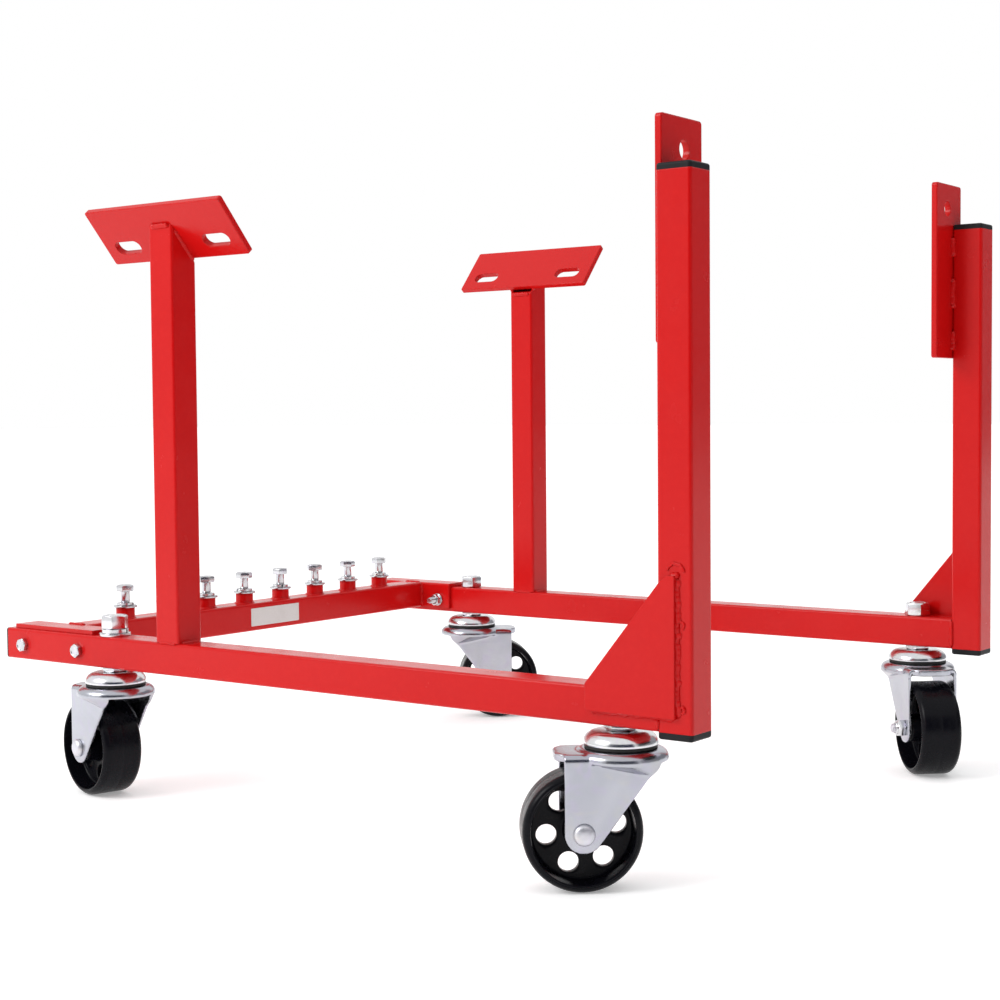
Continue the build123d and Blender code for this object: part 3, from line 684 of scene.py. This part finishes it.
        # sector border, anticlockwise, aligned to the rim's 96 segments
        arc = [2 * math.pi * j / 96 for j in range(97)]
        start = round((mid - math.pi / 6) / (2 * math.pi / 96))
        th = [(start + j) * 2 * math.pi / 96 for j in range(per + 1)]
        border = [(R1 * math.cos(t), R1 * math.sin(t)) for t in th]
        border += [((R1 + (R0 - R1) * j / rad) * math.cos(th[-1]), (R1 + (R0 - R1) * j / rad) * math.sin(th[-1])) for j in range(1, rad)]
        border += [(R0 * math.cos(t), R0 * math.sin(t)) for t in reversed(th)]
        border += [((R0 + (R1 - R0) * j / rad) * math.cos(th[0]), (R0 + (R1 - R0) * j / rad) * math.sin(th[0])) for j in range(1, rad)]
        cx, cy = PC * math.cos(mid), PC * math.sin(mid)
        n = len(border)
        dirs = []
        for bx, by in border:
            d = math.hypot(bx - cx, by - cy)
            dirs.append(((bx - cx) / d, (by - cy) / d))
        for sgn in (1, -1):
            steps = [(HR, 2.55), (HR + 0.18, 2.95), (HR + 0.62, 3.2)]
            vs = []
            for r, z in steps:
                vs += [(cx + dx * r, cy + dy * r, sgn * z) for dx, dy in dirs]
            for f in (0.4, 0.75, 1.0):
                vs += [(cx + dx * (HR + 0.62) + f * (bx - cx - dx * (HR + 0.62)), cy + dy * (HR + 0.62) + f * (by - cy - dy * (HR + 0.62)), sgn * 3.2) for (dx, dy), (bx, by) in zip(dirs, border)]
            fs = []
            for j in range(5):
                for q in range(n):
                    t = (q + 1) % n
                    fs.append((j * n + q, j * n + t, (j + 1) * n + t, (j + 1) * n + q))
            w.add(vs, fs, mw)
        vs = [(cx + dx * HR, cy + dy * HR, 2.55) for dx, dy in dirs] + [(cx + dx * HR, cy + dy * HR, -2.55) for dx, dy in dirs]
        w.add(vs, [(q, (q + 1) % n, n + (q + 1) % n, n + q) for q in range(n)], mw)
    w.object("wheel_%s_detail" % tag, WHEEL, "wheel_" + tag, "wheel_plastic", ["wheel_" + tag], angle=40, merge=0.02)


# ------------------------------------------------------------------ weld beads
def bead(b, pts, normals, r=2.0, pitch=2.1, seed=1, wander=0.25, flat=0.75):
    """A rippled bead along a path of rail-coordinate points (millimetres). Normals are the outward direction at each point."""
    rg = random.Random(seed)
    seg = []
    total = 0.0
    for p, q in zip(pts, pts[1:]):
        seg.append((total, (q - p).length))
        total += (q - p).length
    step = 0.42
    n = max(6, int(total / step))
    sides = 12
    phase = rg.random()
    blob = [rg.uniform(-1, 1) for _ in range(int(total / pitch) + 4)]
    rings = []
    for k in range(n + 1):
        s = total * k / n
        for i, (s0, L) in enumerate(seg):
            if s <= s0 + L or i == len(seg) - 1:
                f = min(1.0, (s - s0) / L)
                c = pts[i].lerp(pts[i + 1], f)
                t = (pts[i + 1] - pts[i]).normalized()
                nn = normals[i].lerp(normals[min(i + 1, len(normals) - 1)], f).normalized()
                break
        side = t.cross(nn).normalized()
        q = s / pitch + phase
        cell = q % 1.0
        which = int(q)
        scale = 0.80 + 0.20 * math.sqrt(max(0.0, 1 - (cell * 1.15 - 0.2) ** 2)) + 0.07 * blob[which % len(blob)]
        end = min(1.0, s / (r * 0.9), (total - s) / (r * 0.9))
        scale *= math.sqrt(max(0.02, 1 - (1 - end) ** 2))
        off = side * (wander * blob[(which + 1) % len(blob)] * 0.5)
        ring = []
        for j in range(sides):
            a = 2 * math.pi * j / sides
            lead = math.cos(a) * 0.0
            ring.append(c + off + side * (math.cos(a) * r * scale) + nn * (math.sin(a) * r * scale * flat) + t * (0.5 * r * abs(math.sin(a)) * 0.4))
        rings.append(ring)
    vs = [tuple(p) for ring in rings for p in ring]
    fs = []
    for k in range(len(rings) - 1):
        for j in range(sides):
            t = (j + 1) % sides
            fs.append((k * sides + j, k * sides + t, (k + 1) * sides + t, (k + 1) * sides + j))
    fs.append(tuple(range(sides)))
    fs.append(tuple(reversed([(len(rings) - 1) * sides + j for j in range(sides)])))
    b.add(vs, fs, Matrix.Translation(Vector((-X_MID, -Y_MID, HC))))


V = Vector
for side, tag in ((-1, "right"), (1, "left")):
    s = float(side)

    def W(x, y, z):
        return V((x, side_y(side, y), z))

    out = V((0, s, 0))
    b = Build()
    # gusset: down its trailing edge, along its foot, and a tack at its peak
    bead(b, [W(655.0, -0.4, 98.5), W(655.2, -0.4, 70.0), W(654.9, -0.4, 40.0), W(655.0, -0.4, 11.0)], [V((0.35, s * 0.95, 0))] * 4, 2.5, 3.3, 11 + side, 1.9, 0.55)
    bead(b, [W(590.0, -0.4, 9.6), W(615.0, -0.4, 9.3), W(640.0, -0.4, 9.5), W(652.0, -0.4, 9.2)], [V((0, s * 0.9, -0.4))] * 4, 2.1, 3.0, 21 + side, 1.3, 0.55)
    bead(b, [W(650.0, -0.6, 100.4), W(656.5, -0.6, 100.0)], [V((0, s * 0.7, 0.7))] * 2, 2.4, 2.6, 31 + side, 0.6)
    bead(b, [W(587.0, -0.4, 11.0), W(586.9, -0.4, 25.0)], [V((-0.7, s * 0.7, 0))] * 2, 1.7, 2.4, 41 + side, 0.5)
    bead(b, [W(647.0, -0.3, 103.5), W(652.0, -0.4, 107.0), W(657.0, -0.4, 106.0), W(660.5, -0.3, 102.5)], [V((0, s, 0))] * 4, 1.1, 2.2, 45 + side, 1.6, 0.55)
    bead(b, [W(657.0, -0.3, 72.0), W(660.0, -0.3, 69.5), W(659.0, -0.3, 66.0)], [V((0, s, 0))] * 3, 0.9, 1.8, 47 + side, 0.6, 0.8)
    bead(b, [W(657.5, -0.3, 18.0), W(660.5, -0.3, 16.0), W(658.5, -0.3, 13.0)], [V((0, s, 0))] * 3, 1.1, 1.8, 49 + side, 0.6, 0.8)
    b.object("weld_gusset_" + tag, RED, "frame", "red_paint", angle=50)

    b = Build()
    # rail end against the tall upright: inner face, top and the short seam below the gusset
    yin = 25.4
    bead(b, [W(639.9, yin, 2.0), W(639.9, yin, 23.5)], [V((-0.7, -s * 0.7, 0))] * 2, 2.0, 2.3, 51 + side)
    bead(b, [W(639.9, 22.5, 25.5), W(639.9, 3.0, 25.5)], [V((-0.7, 0, 0.7))] * 2, 2.2, 2.4, 61 + side)
    bead(b, [W(640.0, 0.1, 1.5), W(640.0, 0.1, 8.0)], [V((0, s, 0))] * 2, 1.3, 2.0, 71 + side)
    bead(b, [W(640.0, 3.0, 0.0), W(640.0, 22.4, 0.0)], [V((-0.3, 0, -0.95))] * 2, 1.5, 2.2, 72 + side)
    b.object("weld_tall_upright_" + tag, RED, "frame", "red_paint", angle=50)

    b = Build()
    # short upright: around its foot
    x0, x1 = FRONT_X, FRONT_X + TUBE
    bead(b, [W(x0 + 3.5, 0.6, 25.6), W(x1 - 3.5, 0.6, 25.6)], [V((0, s * 0.7, 0.7))] * 2, 1.35, 2.3, 81 + side, 0.2)
    bead(b, [W(x1, 3.2, 25.5), W(x1, 22.2, 25.5)], [V((0.7, 0, 0.7))] * 2, 2.0, 2.4, 82 + side)
    bead(b, [W(x0, 3.2, 25.5), W(x0, 22.2, 25.5)], [V((-0.7, 0, 0.7))] * 2, 2.0, 2.4, 83 + side)
    bead(b, [W(x0 + 3.5, 24.8, 25.6), W(x1 - 3.5, 24.8, 25.6)], [V((0, -s * 0.7, 0.7))] * 2, 1.35, 2.3, 84 + side, 0.2)
    # and under its plate
    n_up = V((0, -s * math.sin(SLOPE), math.cos(SLOPE)))      # the plate's upward normal
    down = V((0, -s * math.cos(SLOPE), -math.sin(SLOPE)))
    under = V((FRONT_X + TUBE / 2, side_y(side, MOTOR_Y), MOTOR_Z)) - n_up * 5.0

    def under_z(y):
        """height of the plate's underside over the distance y in from the rail's outer face"""
        yy = side_y(side, y)
        return under.z - (yy - under.y) * n_up.y / n_up.z

    for xx, nx in ((x1, 0.75), (x0, -0.75)):
        pts = [V((xx, side_y(side, yy), under_z(yy) - 0.6)) for yy in (3.0, 9.0, 16.0, 22.4)]
        bead(b, pts, [V((nx, 0, -0.65))] * 4, 2.1, 2.4, 91 + side + int(nx))
    zz = under_z(25.4)
    bead(b, [W(x0 + 3.0, 25.5, zz - 0.8), W(x1 - 3.0, 25.5, zz - 0.8)], [V((0, -s * 0.9, -0.4))] * 2, 2.0, 2.4, 95 + side)
    zz = under_z(0.0)
    bead(b, [W(x0 + 3.0, -0.2, zz - 1.2), W(x1 - 3.0, -0.2, zz - 1.2)], [V((0, s * 0.7, -0.7))] * 2, 2.4, 2.6, 97 + side)
    b.object("weld_short_upright_" + tag, RED, "frame", "red_paint", angle=50)

    b = Build()
    # bell-housing plate: stitches in the corner between its back and the upright's inner face, and down its outer edge
    for k, (za, zb) in enumerate(((252.0, 268.0), (287.0, 312.0), (330.0, 346.0))):
        bead(b, [W(640.9, 26.2, za), W(640.7, 26.4, (za + zb) / 2), W(641.0, 26.1, zb)], [V((0.7, -s * 0.7, 0))] * 3, 2.9, 3.1, 101 + 3 * k + side, 0.9)
    for k, (za, zb) in enumerate(((254.0, 274.0), (318.0, 338.0))):
        bead(b, [W(638.9, 7.0, za), W(638.9, 7.0, zb)], [V((-0.5, s * 0.85, 0))] * 2, 1.8, 2.6, 121 + 3 * k + side, 0.5)
    b.object("weld_bell_plate_" + tag, RED, "frame", "red_paint", angle=50)

    b = Build()
    # cross tube into the angle
    yv = TUBE + 3.5
    for xx, nx in ((CROSS_X - TUBE / 2, -0.7), (CROSS_X + TUBE / 2, 0.7)):
        bead(b, [W(xx, yv + 0.1, 5.5), W(xx, yv + 0.1, 27.0)], [V((nx, -s * 0.7, 0))] * 2, 2.0, 2.4, 131 + side + int(nx * 3))
    bead(b, [W(CROSS_X - 9.5, yv - 0.4, 28.6), W(CROSS_X + 9.5, yv - 0.4, 28.6)], [V((0, -s * 0.4, 0.9))] * 2, 2.0, 2.4, 137 + side)
    b.object("weld_cross_member_" + tag, RED, "frame", "red_paint", angle=50)

b = Build()
for i, y in enumerate(COLLAR_Y):
    pts = [V((CROSS_X + 8.3 * math.cos(math.radians(a)), y + 8.3 * math.sin(math.radians(a)), 28.95)) for a in range(0, 361, 15)]
    nrm = [V((math.cos(math.radians(a)) * 0.7, math.sin(math.radians(a)) * 0.7, 0.7)) for a in range(0, 361, 15)]
    bead(b, pts, nrm, 1.25, 2.1, 200 + i, 0.2)
b.object("weld_collars", RED, "frame", "red_paint", angle=50)

# ------------------------------------------------------------------ floor, light, camera
me = bpy.data.meshes.new("floor")
S = 40.0
me.from_pydata([(-S, -S, -0.0004), (S, -S, -0.0004), (S, S, -0.0004), (-S, S, -0.0004)], [], [(0, 1, 2, 3)])
floor = bpy.data.objects.new("floor", me)
scene.collection.objects.link(floor)
fm = bpy.data.materials.new("floor_pale")
fm.use_nodes = True
fb = fm.node_tree.nodes["Principled BSDF"]
fb.inputs["Emission Color"].default_value = (1, 1, 1, 1)
fb.inputs["Emission Strength"].default_value = 0.30
fb.inputs["Base Color"].default_value = (0.93, 0.93, 0.93, 1)
fb.inputs["Roughness"].default_value = 0.9
fb.inputs["Specular IOR Level"].default_value = 0.1
me.materials.append(fm)

world = bpy.data.worlds.new("studio")
scene.world = world
world.use_nodes = True
nt = world.node_tree
nt.nodes.clear()
wo = nt.nodes.new("ShaderNodeOutputWorld")
bg = nt.nodes.new("ShaderNodeBackground")
nt.links.new(bg.outputs[0], wo.inputs["Surface"])
bg.inputs["Color"].default_value = (1.0, 1.0, 1.0, 1)
bg.inputs["Strength"].default_value = 1.0


def area(name, loc, target, size, power, color=(1, 1, 1)):
    ld = bpy.data.lights.new(name, "AREA")
    ld.shape = "RECTANGLE"
    ld.size, ld.size_y = size
    ld.energy = power
    ld.color = color
    o = bpy.data.objects.new(name, ld)
    scene.collection.objects.link(o)
    o.location = loc
    o.rotation_euler = (Vector(target) - Vector(loc)).to_track_quat("-Z", "Y").to_euler()
    return o


def card(name, a0, a1, radius, z0, z1, shade):
    """a studio flag: a curved card that keeps light off one side and darkens what bright metal reflects; cameras see past it"""
    n = 24
    vs, fs = [], []
    for k in range(n + 1):
        a = math.radians(a0 + (a1 - a0) * k / n)
        vs += [(radius * math.cos(a), radius * math.sin(a), z0), (radius * math.cos(a), radius * math.sin(a), z1)]
    for k in range(n):
        fs.append((2 * k, 2 * k + 2, 2 * k + 3, 2 * k + 1))
    me = bpy.data.meshes.new(name)
    me.from_pydata(vs, [], fs)
    mt = bpy.data.materials.new(name)
    mt.use_nodes = True
    b = mt.node_tree.nodes["Principled BSDF"]
    b.inputs["Base Color"].default_value = (*shade, 1)
    b.inputs["Roughness"].default_value = 1.0
    b.inputs["Specular IOR Level"].default_value = 0.0
    me.materials.append(mt)
    o = bpy.data.objects.new(name, me)
    scene.collection.objects.link(o)
    o.visible_camera = False
    return o


card("flag_front", -92, -18, 4.0, 0.0, 2.6, (0.035, 0.04, 0.065))
card("flag_right", -10, 86, 4.2, 0.15, 2.6, (0.30, 0.30, 0.32))

area("key", (-1.2, -2.3, 1.9), (0, -0.1, 0.22), (1.6, 1.2), 42)

cam = bpy.data.cameras.new("camera")
cam.lens = 64.133
cam.sensor_width = 36.0
cam.clip_start = 0.02
cam.clip_end = 200
co = bpy.data.objects.new("camera", cam)
scene.collection.objects.link(co)
yaw, pitch, roll = -0.6356104590375385, -0.047697770036593895, -0.008412036424115334
fwd = Vector((math.sin(yaw) * math.cos(pitch), math.cos(yaw) * math.cos(pitch), math.sin(pitch)))
right = Vector((math.cos(yaw), -math.sin(yaw), 0))
upv = right.cross(fwd)
r2 = right * math.cos(roll) + upv * math.sin(roll)
u2 = right * -math.sin(roll) + upv * math.cos(roll)
mc = Matrix((r2, u2, fwd * -1)).transposed().to_4x4()
mc.translation = Vector((0.89332, -1.210309, 0.30826))
co.matrix_world = mc
scene.camera = co
scene.view_settings.view_transform = "Standard"
